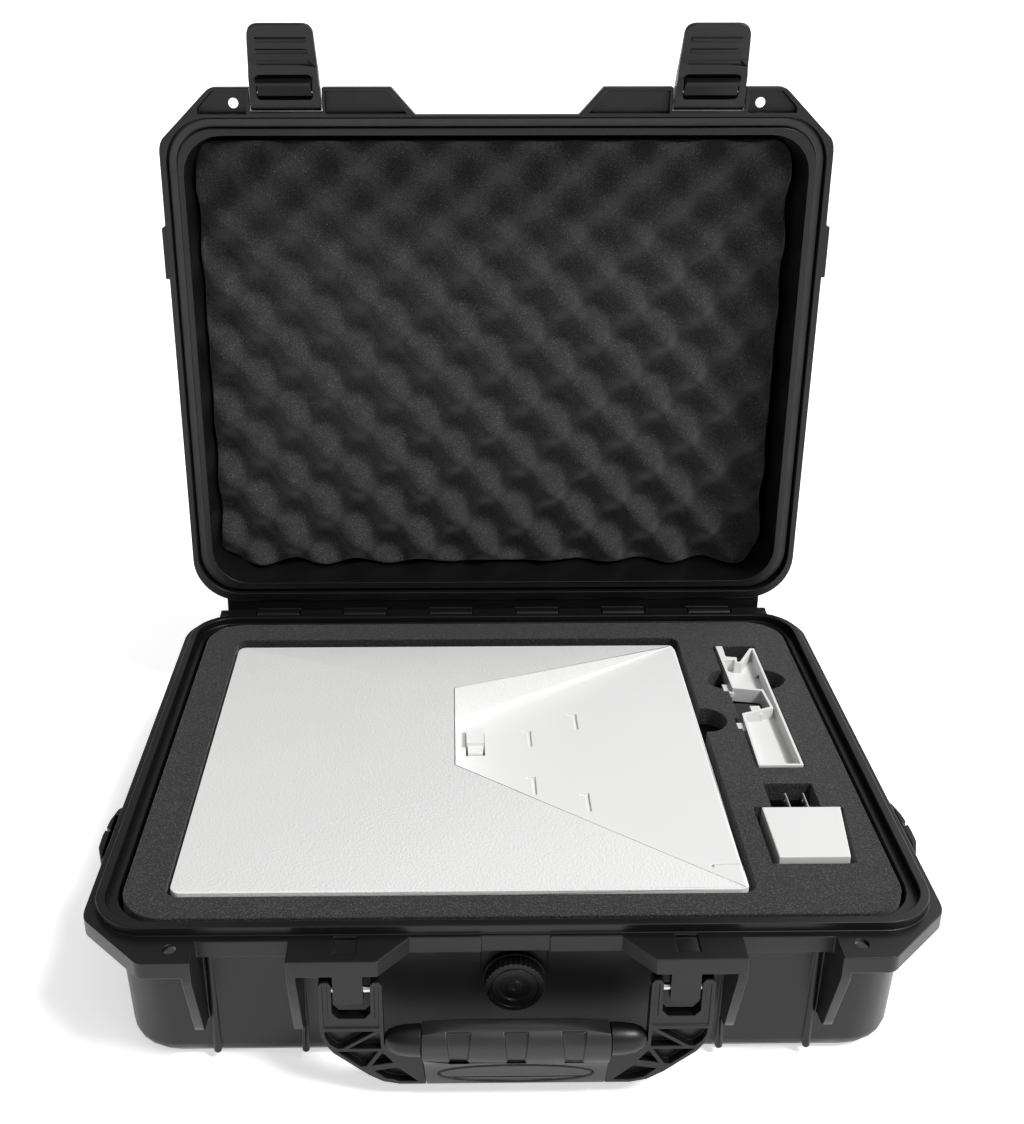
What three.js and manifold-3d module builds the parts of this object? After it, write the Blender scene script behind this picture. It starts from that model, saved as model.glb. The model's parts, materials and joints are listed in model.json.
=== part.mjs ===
// A hard-shell carrying case, open, with the kit that it stores in its foam:
// a flat white unit with a roof-shaped back, its connector cover and its mains adapter.
// Millimetres, +Z up, +X to the right, +Y towards the hinge.
// The origin is the middle of the case's flat bottom.
import * as THREE from "three";
import { mergeVertices } from "three/addons/utils/BufferGeometryUtils.js";
import Module from "manifold-3d";

const wasm = await Module();
wasm.setup();

// ---- driving dimensions ----
const GAP = 0.3; // between pieces that touch
const BASE_HEIGHT = 110; // the parting plane's height above the bottom
const LID_HEIGHT = 62; // the lid's height above the parting plane, closed
const OPEN_ANGLE = 91; // degrees from closed to the rest position
const TONGUE = { hx: 263.5, hy: 206.5, r: 36, thick: 6, high: 6.3 };
const FLANGE = { hx: 269.7, back: 215, thick: 12, plate: 3.5, rim: 3, r: 40 };
const EAR = { inner: 84, slope: 19, front: 230.5, outer: 227, chamfer: 37 };
const CENTRE_EDGE = 209.5; // how far forward the flange reaches between the ears
const BODY = { y: 2, hx: 254.2, hy: 198.5, r: 34, wall: 2.8, draft: 3.2, round: 12 };
const HINGE = { y: 228.1, z: BASE_HEIGHT - 8, r: 7, pin: 2, pitch: 39, ends: 247 };
const LATCH = {
  x: 167,
  half: 28.2,
  back: 212,
  pivotY: -219,
  pivotZ: BASE_HEIGHT + 6,
  pin: 1.5,
  barrel: 6.5,
};
const LEVER_LEAN = 26; // degrees that the levers hang towards shut in the rest position
const HOOK = { y: -229.5, z: 113.6, pin: 1.2 };
const HANDLE = { x: 102, pivotY: -226.5, pivotZ: BASE_HEIGHT - 24, pin: 2.2, thick: 8 };
const PANEL = {
  x: -33.6,
  y: -10.6,
  hx: 185,
  hy: 160.7,
  edge: BASE_HEIGHT + 4,
  body: 20,
  roof: 23,
  ridge: 52.6,
  ridgeX: -36.1,
  corner: 7,
  sink: 5,
};
const VALVE = { z: BASE_HEIGHT - 42.5, wallY: -195.4 };
const FOAM_TOP = BASE_HEIGHT + 2.3;
const TRAY_BOTTOM = 52;

// ---- making and joining solids ----
function toSolid(geometry) {
  const bare = geometry.index ? geometry.toNonIndexed() : geometry.clone();
  bare.deleteAttribute("normal");
  bare.deleteAttribute("uv");
  const merged = mergeVertices(bare, 1e-4);
  return new wasm.Manifold(
    new wasm.Mesh({
      numProp: 3,
      vertProperties: merged.attributes.position.array,
      triVerts: new Uint32Array(merged.index.array),
    }),
  );
}

function toGeometry(solid) {
  const mesh = solid.getMesh();
  const geometry = new THREE.BufferGeometry();
  geometry.setAttribute("position", new THREE.BufferAttribute(mesh.vertProperties, 3));
  geometry.setIndex(new THREE.BufferAttribute(mesh.triVerts, 1));
  geometry.computeVertexNormals();
  return geometry;
}

const join = (first, ...rest) => rest.reduce((sum, next) => sum.add(next), first);
const cut = (first, ...rest) => rest.reduce((left, next) => left.subtract(next), first);

function box(x0, x1, y0, y1, z0, z1) {
  const geometry = new THREE.BoxGeometry(x1 - x0, y1 - y0, z1 - z0);
  return toSolid(geometry.translate((x0 + x1) / 2, (y0 + y1) / 2, (z0 + z1) / 2));
}

const extrude = (shape, depth, curveSegments) =>
  new THREE.ExtrudeGeometry(shape, { depth, bevelEnabled: false, curveSegments });

// A shape in X and Y, extruded from z0 up to z1.
function prism(shape, z0, z1, segments = 6) {
  const geometry = extrude(shape, z1 - z0, segments);
  return toSolid(geometry.translate(0, 0, z0));
}

// A profile whose first coordinate is Y and second is Z, extruded from x0 to x1.
function barAlongX(shape, x0, x1, segments = 6) {
  const geometry = extrude(shape, x1 - x0, segments);
  return toSolid(geometry.rotateX(Math.PI / 2).rotateZ(Math.PI / 2).translate(x0, 0, 0));
}

// A shape whose coordinates are X and Z, extruded from y0 to y1.
function plateAlongY(shape, y0, y1, segments = 6) {
  const geometry = extrude(shape, y1 - y0, segments);
  return toSolid(geometry.rotateX(Math.PI / 2).translate(0, y1, 0));
}

function rodX(x0, x1, y, z, r, sides = 20) {
  const geometry = new THREE.CylinderGeometry(r, r, x1 - x0, sides);
  return toSolid(geometry.rotateZ(Math.PI / 2).translate((x0 + x1) / 2, y, z));
}

function rodY(y0, y1, x, z, r, sides = 24) {
  const geometry = new THREE.CylinderGeometry(r, r, y1 - y0, sides);
  return toSolid(geometry.translate(x, (y0 + y1) / 2, z));
}

function rodZ(z0, z1, x, y, r, sides = 20) {
  const geometry = new THREE.CylinderGeometry(r, r, z1 - z0, sides);
  return toSolid(geometry.rotateX(Math.PI / 2).translate(x, y, (z0 + z1) / 2));
}

// A flat ring of rectangular section round an axis along Y.
function ringY(inner, outer, y0, y1, x, z, sides = 32) {
  const profile = [[inner, y0], [outer, y0], [outer, y1], [inner, y1], [inner, y0]];
  const geometry = new THREE.LatheGeometry(profile.map(([r, h]) => new THREE.Vector2(r, h)), sides);
  return toSolid(geometry.translate(x, 0, z));
}

function polygon(points) {
  return new THREE.Shape(points.map(([a, b]) => new THREE.Vector2(a, b)));
}

function roundedRect(hx, hy, r, x = 0, y = 0) {
  const shape = new THREE.Shape();
  shape.moveTo(x + hx, y - hy + r);
  shape.lineTo(x + hx, y + hy - r);
  shape.absarc(x + hx - r, y + hy - r, r, 0, Math.PI / 2);
  shape.absarc(x - hx + r, y + hy - r, r, Math.PI / 2, Math.PI);
  shape.absarc(x - hx + r, y - hy + r, r, Math.PI, Math.PI * 1.5);
  shape.absarc(x + hx - r, y - hy + r, r, Math.PI * 1.5, Math.PI * 2);
  return shape;
}

// A rounded box whose walls lean in: one ring of points at each level, joined by triangles.
function loft(levels, y, segments = 6) {
  const rings = levels.map(({ hx, hy, r, z }) => {
    const points = [];
    for (const [sx, sy, start] of [[1, 1, 0], [-1, 1, 1], [-1, -1, 2], [1, -1, 3]]) {
      for (let i = 0; i <= segments; i += 1) {
        const angle = ((start + i / segments) * Math.PI) / 2;
        const px = sx * (hx - r) + r * Math.cos(angle);
        const py = y + sy * (hy - r) + r * Math.sin(angle);
        points.push(new THREE.Vector3(px, py, z));
      }
    }
    return points;
  });
  const count = rings[0].length;
  const positions = rings.flat().flatMap((p) => [p.x, p.y, p.z]);
  const index = [];
  for (let level = 0; level + 1 < rings.length; level += 1) {
    for (let i = 0; i < count; i += 1) {
      const a = level * count + i;
      const b = level * count + ((i + 1) % count);
      index.push(a, b, b + count, a, b + count, a + count);
    }
  }
  const top = (rings.length - 1) * count;
  for (let i = 1; i + 1 < count; i += 1) {
    index.push(0, i + 1, i);
    index.push(top, top + i, top + i + 1);
  }
  const geometry = new THREE.BufferGeometry();
  geometry.setAttribute("position", new THREE.BufferAttribute(new Float32Array(positions), 3));
  geometry.setIndex(index);
  return toSolid(geometry);
}

// ---- the flange outline that base and lid share, smaller by inset ----
function flangeOutline(inset = 0) {
  const hx = FLANGE.hx - inset;
  const back = FLANGE.back - inset;
  const front = -(EAR.front - inset);
  const centre = -(CENTRE_EDGE - inset);
  const slant = inset * 0.42; // keeps a 45 degree side parallel to itself
  const earIn = EAR.inner + slant;
  const earOut = EAR.outer - slant;
  const shape = new THREE.Shape();
  const r = FLANGE.r - inset;
  shape.moveTo(hx, -EAR.front + EAR.chamfer + 14);
  shape.lineTo(hx, back - r);
  shape.absarc(hx - r, back - r, r, 0, Math.PI / 2);
  shape.absarc(-hx + r, back - r, r, Math.PI / 2, Math.PI);
  shape.lineTo(-hx, -EAR.front + EAR.chamfer + 14);
  shape.quadraticCurveTo(-hx, -EAR.front + EAR.chamfer + 4, -hx + 5, -EAR.front + EAR.chamfer + slant);
  shape.lineTo(-earOut - 3, front + 3);
  shape.quadraticCurveTo(-earOut, front, -earOut + 4, front);
  shape.lineTo(-earIn, front);
  shape.lineTo(-earIn + EAR.slope, centre);
  shape.lineTo(earIn - EAR.slope, centre);
  shape.lineTo(earIn, front);
  shape.lineTo(earOut - 4, front);
  shape.quadraticCurveTo(earOut, front, earOut + 3, front + 3);
  shape.lineTo(hx - 5, -EAR.front + EAR.chamfer + slant);
  shape.quadraticCurveTo(hx, -EAR.front + EAR.chamfer + 4, hx, -EAR.front + EAR.chamfer + 14);
  return shape;
}

const SIDES = [["left", -1], ["right", 1]];
const latchX = (side) => side * LATCH.x;
const handleX = (side) => side * HANDLE.x;
const onSide = (points, side) => points.map(([a, b]) => [side * a, b]);
const padlockHole = (side, z0, z1) => rodZ(z0, z1, side * 209.5, -218, 4, 20);

// The knuckles of the hinge: the lid has every second one, and the base has the others and both ends.
function knuckleSpans(owner) {
  const spans = [];
  const first = -5.5 * HINGE.pitch;
  for (let i = 0; i < 11; i += 1) {
    const isLid = i % 2 === 0;
    if (isLid === (owner === "lid")) {
      spans.push([first + i * HINGE.pitch, first + (i + 1) * HINGE.pitch]);
    }
  }
  if (owner === "base") {
    spans.push([-HINGE.ends, first], [-first, HINGE.ends]);
  }
  return spans.map(([a, b]) => [a + 0.4, b - 0.4]);
}

const pinBore = rodX(-HINGE.ends - 1, HINGE.ends + 1, HINGE.y, HINGE.z, HINGE.pin + GAP, 16);

// ---- base shell ----
function bodyLevels(shrink, z0, z1) {
  const lean = (z) => (BODY.draft * (BASE_HEIGHT - FLANGE.thick - z)) / (BASE_HEIGHT - BODY.round);
  const level = (z, tuck) => ({
    hx: BODY.hx - shrink - lean(z) - tuck,
    hy: BODY.hy - shrink - lean(z) - tuck,
    r: Math.max(BODY.r - shrink - tuck * 0.6, 8),
    z,
  });
  const round = BODY.round - shrink;
  const levels = [];
  for (let i = 0; i <= 4; i += 1) {
    const angle = (i / 4) * (Math.PI / 2);
    levels.push(level(z0 + round * (1 - Math.sin(angle)), round * (1 - Math.cos(angle))));
  }
  return [...levels.sort((a, b) => a.z - b.z), level(z1, 0)];
}

// A tapering fin beside a latch notch, from the front edge of the ear back to the wall.
function latchFin(x, halfWidth) {
  const profile = polygon([
    [-EAR.front, BASE_HEIGHT - 0.01],
    [-EAR.front, BASE_HEIGHT - FLANGE.thick - 4],
    [-211.6, 43],
    [-209.8, 38.4],
    [-206, 35.4],
    [-194, 34],
    [-194, BASE_HEIGHT - 0.01],
  ]);
  return barAlongX(profile, x - halfWidth, x + halfWidth);
}

// A half-round rib that runs down the front wall and ends in a small round foot.
function footRib(x) {
  const foot = toSolid(new THREE.SphereGeometry(2.6, 12, 6).translate(x, -194.6, 8));
  return join(rodZ(8, 92, x, -194.6, 2.6, 12), foot);
}

// The ear's lug that carries the handle pin.
function handleLug(side) {
  const x = handleX(side);
  const shape = roundedRect(9.2, 15, 2.5, x, BASE_HEIGHT - 18);
  const bore = rodX(x - 20, x + 20, HANDLE.pivotY, HANDLE.pivotZ, HANDLE.pin + GAP, 16);
  return { tongue: plateAlongY(shape, -EAR.front, -EAR.front + 8), bore };
}

// A strap eye on the side wall: a bowed bar round a slot, with a slit that lets a strap's loop in.
function strapEye(side) {
  const top = BASE_HEIGHT - 8;
  const bar = [
    [262, -58], [268, -58], [275, -63], [278, -76],
    [279.4, -94], [279, -107], [275, -119], [262, -121],
  ];
  const web = [[250, -58], [268, -58], [268, -121], [250, -121]];
  const slit = [[271, -89], [283, -82], [283, -85.2], [271, -92.4]];
  const slot = [[270.2, -72], [274.9, -72], [274.9, -111], [270.2, -111]];
  const bevel = barAlongX(
    polygon([[-125, BASE_HEIGHT - 34], [-108, BASE_HEIGHT - 34], [-125, BASE_HEIGHT - 16]]),
    Math.min(side * 262, side * 290),
    Math.max(side * 262, side * 290),
  );
  const block = prism(polygon(onSide(bar, side)), BASE_HEIGHT - 32, top);
  const root = prism(polygon(onSide(web, side)), BASE_HEIGHT - 32, BASE_HEIGHT - 11);
  const opening = [slot, slit].map((points) => prism(polygon(onSide(points, side)), 70, BASE_HEIGHT + 4));
  return { solid: join(block, root).subtract(bevel), slot: join(...opening) };
}

function baseShell() {
  const top = BASE_HEIGHT;
  const bottomOfFlange = top - FLANGE.thick;
  const body = loft(bodyLevels(0, 0, top - 1), BODY.y);
  const cavity = loft(bodyLevels(BODY.wall, BODY.wall, top + 10), BODY.y);
  const flange = prism(flangeOutline(), bottomOfFlange, top);
  const tongueOuter = prism(roundedRect(TONGUE.hx, TONGUE.hy, TONGUE.r), top - 1, top + TONGUE.high);
  const tongueInner = prism(
    roundedRect(TONGUE.hx - TONGUE.thick, TONGUE.hy - TONGUE.thick, TONGUE.r - TONGUE.thick),
    top,
    top + TONGUE.high + 1,
  );
  let hollow = prism(flangeOutline(FLANGE.rim), bottomOfFlange - 1, top - FLANGE.plate);
  hollow = cut(hollow, prism(roundedRect(BODY.hx + 0.5, BODY.hy + 0.5, BODY.r, 0, BODY.y), 0, top));
  for (const [, side] of SIDES) {
    const x = latchX(side);
    hollow = cut(hollow, box(x - LATCH.half - 5, x + LATCH.half + 5, -240, -LATCH.back + 3, 0, top));
    for (const y of [-140, -40, 60, 150]) {
      hollow = cut(hollow, box(side * 262 - 9, side * 262 + 9, y - 1.2, y + 1.2, 0, top));
    }
  }
  let shell = join(body, cut(flange, hollow), tongueOuter);
  for (const [, side] of SIDES) {
    const x = latchX(side);
    const notch = box(x - LATCH.half, x + LATCH.half, -240, -LATCH.back, bottomOfFlange - 30, top + 1);
    const lug = handleLug(side);
    const slotX = side * 104;
    shell = join(shell, latchFin(x - LATCH.half - 3, 3), latchFin(x + LATCH.half + 3, 3));
    shell = join(shell, footRib(side * 134), footRib(side * 191), lug.tongue, strapEye(side).solid);
    shell = cut(shell, notch, lug.bore, padlockHole(side, 60, top + 1), strapEye(side).slot);
    shell = cut(shell, box(slotX - 6.8, slotX + 6.8, -223.5, -208.5, top - 20, top + 1));
  }
  for (const [a, b] of knuckleSpans("base")) {
    const web = box(a, b, HINGE.y - 18, HINGE.y, HINGE.z - HINGE.r, HINGE.z + HINGE.r - 1);
    shell = join(shell, web, rodX(a, b, HINGE.y, HINGE.z, HINGE.r));
  }
  const valveRecess = box(-21, 21, -240, VALVE.wallY, VALVE.z - 24, VALVE.z + 40);
  const rimRecess = box(-21, 21, -240, -CENTRE_EDGE + 1, bottomOfFlange - 1, top + 1);
  const recess = cut(valveRecess, box(-30, 30, -CENTRE_EDGE, -190, bottomOfFlange, top));
  const bore = rodY(-240, -180, 0, VALVE.z, 10.8);
  return cut(shell, cavity, tongueInner, pinBore, rimRecess, recess, bore);
}

// ---- pressure valve in the front wall ----
const VALVE_FACE = VALVE.wallY - GAP;

function valveSeal() {
  return ringY(10.9, 14, VALVE_FACE - 1.3, VALVE_FACE, 0, VALVE.z);
}

function valveBody() {
  const discBack = VALVE_FACE - 1.3 - GAP;
  const disc = rodY(discBack - 1.8, discBack, 0, VALVE.z, 19.8, 36);
  const neck = rodY(discBack - 1, -186, 0, VALVE.z, 10.5);
  const nut = rodY(-189.5, -184.5, 0, VALVE.z, 15, 6);
  const bore = rodY(discBack - 3, -180, 0, VALVE.z, 4.3, 16);
  return cut(join(disc, neck, nut), bore);
}

// A round knob with a scalloped rim and stepped rings on its face.
function valveKnob() {
  const back = VALVE_FACE - 1.3 - 2 * GAP - 1.8;
  const lobes = 36;
  const rim = new THREE.Shape();
  for (let i = 0; i <= lobes * 4; i += 1) {
    const angle = (i / (lobes * 4)) * Math.PI * 2;
    const r = 18.5 + 0.45 * Math.cos(angle * lobes);
    rim[i ? "lineTo" : "moveTo"](r * Math.cos(angle), VALVE.z + r * Math.sin(angle));
  }
  const knob = plateAlongY(rim, back - 7.4, back);
  const face = back - 7.4;
  const groove = ringY(14.1, 15.3, face - 1, face + 0.9, 0, VALVE.z);
  const dish = rodY(face - 1, face + 1.2, 0, VALVE.z, 10, 32);
  const boss = rodY(face + 0.2, face + 2, 0, VALVE.z, 4.6, 20);
  const dimple = rodY(face - 1, face + 1.1, 0, VALVE.z, 2, 12);
  const stem = rodY(back - 1, back + 10, 0, VALVE.z, 4, 16);
  return cut(join(cut(knob, groove, dish), boss, stem), dimple);
}

// ---- handle ----
const CORE_TOP = 50; // the top of the frame's core inside the grip

// One arm's outline in X and Z, with the notch that straddles the ear's lug. The side is 1 on the right.
function armOutline(side) {
  const top = HANDLE.pivotZ + 8;
  return polygon(
    onSide(
      [
        [119.9, top - 2.5], [118.2, top], [114, top], [112.2, top - 2.5],
        [112.2, 70.5], [108.5, 66.2], [92.5, 66.2], [88.7, 70.5],
        [88.6, top - 2.5], [86.8, top], [83.2, top], [81.4, top - 2.5],
        [81, 46], [58.5, 48], [55.6, 13],
        [72, 13], [82, 15.2], [91.5, 20.9],
        [112.5, 38.5], [116.6, 44.6], [119.2, 51.5], [119.9, 57],
      ],
      side,
    ),
  );
}

// The pockets between the arm's ribs, cut into its front: shallow round the pin, and deep below.
function armPockets(side) {
  const channel = [
    [117.6, 90], [117, 91.6], [115, 91.6], [114.5, 90], [114.5, 66], [111.4, 62.7], [89.6, 62.7],
    [86.2, 66], [86.2, 90], [85.7, 91.6], [84.1, 91.6], [83.6, 90], [83.6, 58.6], [117.6, 58.6],
  ];
  const deep = [
    [[117.4, 55.8], [117, 51.5], [114.4, 46], [110, 42.4], [106.8, 42.4], [87, 55.6]],
    [[102.6, 42.2], [83.6, 54.8], [83, 42.2]],
    [[109.8, 39.7], [84.9, 39.7], [92.4, 28], [95.8, 27.8]],
    [[88.8, 28.6], [82.4, 38.2], [80.8, 37.2], [75.8, 30.8]],
    [[73, 26.6], [87.4, 24], [80.2, 17.6], [72, 15.4], [61, 15.4]],
  ];
  const pocket = (points, depth) =>
    plateAlongY(polygon(onSide(points, side)), HANDLE.pivotY - 10, HANDLE.pivotY - HANDLE.thick / 2 + depth);
  return [pocket(channel, 1), ...deep.map((points) => pocket(points, 5.2))];
}

function handleFrame() {
  const y0 = HANDLE.pivotY - HANDLE.thick / 2;
  const y1 = HANDLE.pivotY + HANDLE.thick / 2;
  let frame = box(-60, 60, y0 + 1, y1 - 1, 18, CORE_TOP);
  for (const [, side] of SIDES) {
    frame = join(frame, plateAlongY(armOutline(side), y0, y1), barEnd(side));
    frame = cut(frame, ...armPockets(side));
    const x = handleX(side);
    frame = cut(frame, rodX(x - 25, x + 25, HANDLE.pivotY, HANDLE.pivotZ, HANDLE.pin + GAP, 16));
  }
  return frame;
}

// The grip's section in Y and Z: a round bulge above and a flatter apron below, smaller by inset.
function gripSection(inset = 0) {
  const y = HANDLE.pivotY;
  const shape = new THREE.Shape();
  shape.moveTo(y + 6, 14.4);
  shape.bezierCurveTo(y + 9, 26, y + 10, 58 - inset, y + 2, 59 - inset);
  shape.bezierCurveTo(y - 12 + inset, 60 - inset, y - 16 + inset, 38 + inset, y - 9 + inset, 34);
  shape.bezierCurveTo(y - 7 + inset, 28, y - 7 + inset, 19, y - 5.5 + inset, 14.4);
  shape.closePath();
  return shape;
}

// The frame's own bar beside the sleeve: the grip's bulge, tapering to the arm's inner edge.
function barEnd(side) {
  const centre = { y: HANDLE.pivotY, z: 46 };
  const bulge = new THREE.EllipseCurve(centre.y - 1.4, centre.z, 9.4, 10.6, 0, Math.PI * 2);
  const ring = bulge.getPoints(16).slice(0, -1);
  const stations = [[58.4, 1], [66, 0.98], [73, 0.88], [78, 0.68], [80.6, 0.42]];
  const positions = stations.flatMap(([x, scale]) =>
    ring.flatMap((p) => [side * x, centre.y + (p.x - centre.y) * scale, centre.z + (p.y - centre.z) * scale]),
  );
  const index = [];
  const count = ring.length;
  const last = (stations.length - 1) * count;
  const facing = (a, b, c) => index.push(...(side > 0 ? [a, b, c] : [a, c, b]));
  for (let station = 0; station + 1 < stations.length; station += 1) {
    for (let i = 0; i < count; i += 1) {
      const a = station * count + i;
      const b = station * count + ((i + 1) % count);
      facing(a, b, b + count);
      facing(a, b + count, a + count);
    }
  }
  for (let i = 1; i + 1 < count; i += 1) {
    facing(0, i + 1, i);
    facing(last, last + i, last + i + 1);
  }
  const geometry = new THREE.BufferGeometry();
  geometry.setAttribute("position", new THREE.BufferAttribute(new Float32Array(positions), 3));
  geometry.setIndex(index);
  return toSolid(geometry);
}

function gripSleeve() {
  const y = HANDLE.pivotY;
  const core = HANDLE.thick / 2 - 1 + GAP;
  const crown = new THREE.Shape();
  crown.moveTo(-58, 46);
  crown.lineTo(-58, 55.4);
  crown.quadraticCurveTo(0, 62.4, 58, 55.4);
  crown.lineTo(58, 46);
  crown.lineTo(54.9, 10);
  crown.lineTo(-54.9, 10);
  let grip = barAlongX(gripSection(), -58, 58, 8).intersect(plateAlongY(crown, y - 30, y + 30, 8));
  grip = cut(grip, box(-60, 60, y - core, y + core, 18 - GAP, CORE_TOP + GAP));
  const deeper = barAlongX(gripSection(1), -60, 60, 8);
  for (const x of [-35.4, 0, 35.4]) {
    const notch = polygon([[x - 7.2, 56.2], [x + 7.2, 56.2], [x + 5.2, 37], [x - 5.2, 37]]);
    grip = cut(grip, cut(plateAlongY(notch, y - 30, y - 6), deeper));
  }
  const oval = (hx, hz) => {
    const shape = new THREE.Shape();
    shape.absellipse(0, 24.6, hx, hz, 0, Math.PI * 2);
    return plateAlongY(shape, y - 20, y - 3, 24);
  };
  const line = cut(oval(48.4, 8.4), oval(47.2, 7.2), barAlongX(gripSection(0.8), -60, 60, 8));
  return cut(grip, line);
}

const handlePin = (side) =>
  rodX(handleX(side) - 17.2, handleX(side) + 17.2, HANDLE.pivotY, HANDLE.pivotZ, HANDLE.pin, 16);

// ---- lid, drawn closed ----
function lidLevels(shrink, z0, z1) {
  const lean = (z) => (2 * (z - BASE_HEIGHT)) / LID_HEIGHT;
  const level = (z, tuck) => ({
    hx: BODY.hx - shrink - lean(z) - tuck,
    hy: BODY.hy - shrink - lean(z) - tuck,
    r: Math.max(BODY.r - shrink - tuck * 0.6, 8),
    z,
  });
  const round = 16 - shrink;
  const levels = [level(z0, 0)];
  for (let i = 0; i <= 4; i += 1) {
    const angle = (i / 4) * (Math.PI / 2);
    levels.push(level(z1 - round * (1 - Math.sin(angle)), round * (1 - Math.cos(angle))));
  }
  return levels;
}

// The hollow underside of an ear, which leaves a thin wall all round.
function earPocket(side, points) {
  const shape = polygon(points.map(([x, y]) => [side * x, y]));
  return prism(shape, BASE_HEIGHT - 1, BASE_HEIGHT + 8.5);
}

function lidShell() {
  const bottom = BASE_HEIGHT + GAP;
  const body = loft(lidLevels(0, bottom + 1, bottom + LID_HEIGHT), BODY.y);
  const cavity = loft(lidLevels(BODY.wall, bottom - 1, bottom + LID_HEIGHT - BODY.wall), BODY.y);
  const flange = prism(flangeOutline(), bottom, bottom + 11);
  const lipOuter = TONGUE.hx - TONGUE.thick - 1.2;
  const lipOuterY = TONGUE.hy - TONGUE.thick - 1.2;
  const groove = cut(
    prism(roundedRect(TONGUE.hx + 1.1, TONGUE.hy + 1.1, TONGUE.r), bottom - 1, BASE_HEIGHT + 9),
    prism(roundedRect(lipOuter, lipOuterY, TONGUE.r - 7), bottom - 2, bottom + 10),
  );
  const reliefShape = roundedRect(lipOuter + 0.5, lipOuterY + 0.5, TONGUE.r - 7);
  const lipRelief = prism(reliefShape, bottom - 1, bottom + 0.6);
  let shell = join(body, flange);
  for (const [, side] of SIDES) {
    const block = box(side * 269 - 4, side * 269 + 4, -121, -79, bottom + 1, bottom + 13);
    shell = join(shell, block);
  }
  shell = cut(shell, cavity, groove, lipRelief);
  for (const [, side] of SIDES) {
    const x = latchX(side);
    const notch = LATCH.half + 0.4;
    shell = cut(shell, box(x - notch, x + notch, -240, -LATCH.back, bottom - 1, bottom + 20));
    shell = cut(shell, earPocket(side, [[87.5, -227.6], [136, -227.6], [136, -210.8], [72, -210.8]]));
    const outerEnd = [[225, -227.6], [237, -215], [237, -210.8]];
    shell = cut(shell, earPocket(side, [[198.6, -227.6], ...outerEnd, [198.6, -210.8]]));
    shell = cut(shell, padlockHole(side, bottom - 1, bottom + 20));
    const bore = rodX(x - 30.6, x + 30.6, LATCH.pivotY, LATCH.pivotZ, LATCH.pin + GAP, 16);
    shell = cut(shell, bore);
  }
  for (const [a, b] of knuckleSpans("lid")) {
    const arm = box(a, b, HINGE.y - 4, HINGE.y + HINGE.r, HINGE.z, bottom + 9);
    shell = join(shell, arm, rodX(a, b, HINGE.y, HINGE.z, HINGE.r));
  }
  const shelf = box(-HINGE.ends + 5, HINGE.ends - 5, HINGE.y - 17, HINGE.y + HINGE.r, bottom + 1.5, bottom + 9);
  shell = join(shell, shelf);
  const topFace = bottom + LID_HEIGHT;
  const outside = prism(roundedRect(214, 158, 24, 0, BODY.y), topFace - 1.4, topFace + 1);
  const island = prism(roundedRect(206, 150, 18, 0, BODY.y), topFace - 3, topFace + 2);
  return cut(shell, pinBore, cut(outside, island));
}

function lidGasket() {
  const outer = roundedRect(TONGUE.hx - 0.1, TONGUE.hy - 0.1, TONGUE.r);
  const inner = TONGUE.thick + 0.2;
  const hole = roundedRect(TONGUE.hx - inner, TONGUE.hy - inner, TONGUE.r - 7);
  const low = BASE_HEIGHT + 6.7;
  const ring = cut(prism(outer, low, low + 2), prism(hole, low - 1, low + 3));
  return ring;
}

// The lid's foam fills it from the top down to just above the stored unit's roof.
function lidFoam() {
  const low = PANEL.edge + PANEL.roof + 1.5;
  const high = BASE_HEIGHT + LID_HEIGHT - BODY.wall - GAP;
  const block = prism(roundedRect(246.8, 189.5, 14, -1.5, 4.5), low, high, 3);
  return block.intersect(loft(lidLevels(BODY.wall + 0.5, low - 1, high), BODY.y));
}

// ---- latches, drawn with the lid closed and the lever straight out forwards ----
function latchLever(side) {
  const x = latchX(side);
  const tip = -282.8;
  const outline = new THREE.Shape();
  outline.moveTo(x + 27.8, -212);
  outline.lineTo(x - 27.8, -212);
  outline.lineTo(x - 27.2, -242);
  outline.lineTo(x - 25.6, tip + 9);
  outline.quadraticCurveTo(x - 25.4, tip, x - 16, tip);
  outline.lineTo(x + 16, tip);
  outline.quadraticCurveTo(x + 25.4, tip, x + 25.6, tip + 9);
  outline.lineTo(x + 27.2, -242);
  outline.lineTo(x + 27.8, -212);
  const profile = new THREE.Shape();
  profile.absarc(LATCH.pivotY, LATCH.pivotZ, LATCH.barrel, -Math.PI / 2, Math.PI / 2);
  profile.lineTo(-248, 120.8);
  profile.quadraticCurveTo(-268, 119.6, -284, 122.6);
  profile.lineTo(-284, 119);
  profile.quadraticCurveTo(-268, 115.2, -250, 114.6);
  profile.lineTo(-244, 112);
  profile.lineTo(-226, 111);
  const plate = barAlongX(profile, x - 30, x + 30);
  const pocket = prism(roundedRect(21.8, 10.2, 3, x, -234.4), 106, 117.6, 3);
  let lever = cut(plate.intersect(prism(outline, 100, 130)), pocket);
  for (const y of [-272, -263, -254]) {
    lever = join(lever, box(x - 19.7, x + 19.7, y - 1.6, y + 1.6, 114.3, 118));
  }
  const bore = rodX(x - 40, x + 40, LATCH.pivotY, LATCH.pivotZ, LATCH.pin + GAP, 16);
  const hookBore = rodX(x - 24.2, x + 24.2, HOOK.y, HOOK.z, HOOK.pin + GAP, 12);
  return cut(lever, bore, hookBore);
}

// The claw that pulls the lid down on to the base's flange.
function latchHook(side) {
  const x = latchX(side);
  const profile = polygon([
    [-227, 111.8], [-226.8, 115.4], [-231, 116.2], [-241.6, 113],
    [-242.6, 108], [-242.2, 104.6], [-239.2, 104.4], [-238.6, 107.6], [-237.8, 110.6],
  ]);
  const claw = barAlongX(profile, x - 21, x + 21);
  return cut(claw, rodX(x - 30, x + 30, HOOK.y, HOOK.z, HOOK.pin + GAP, 12));
}

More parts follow.
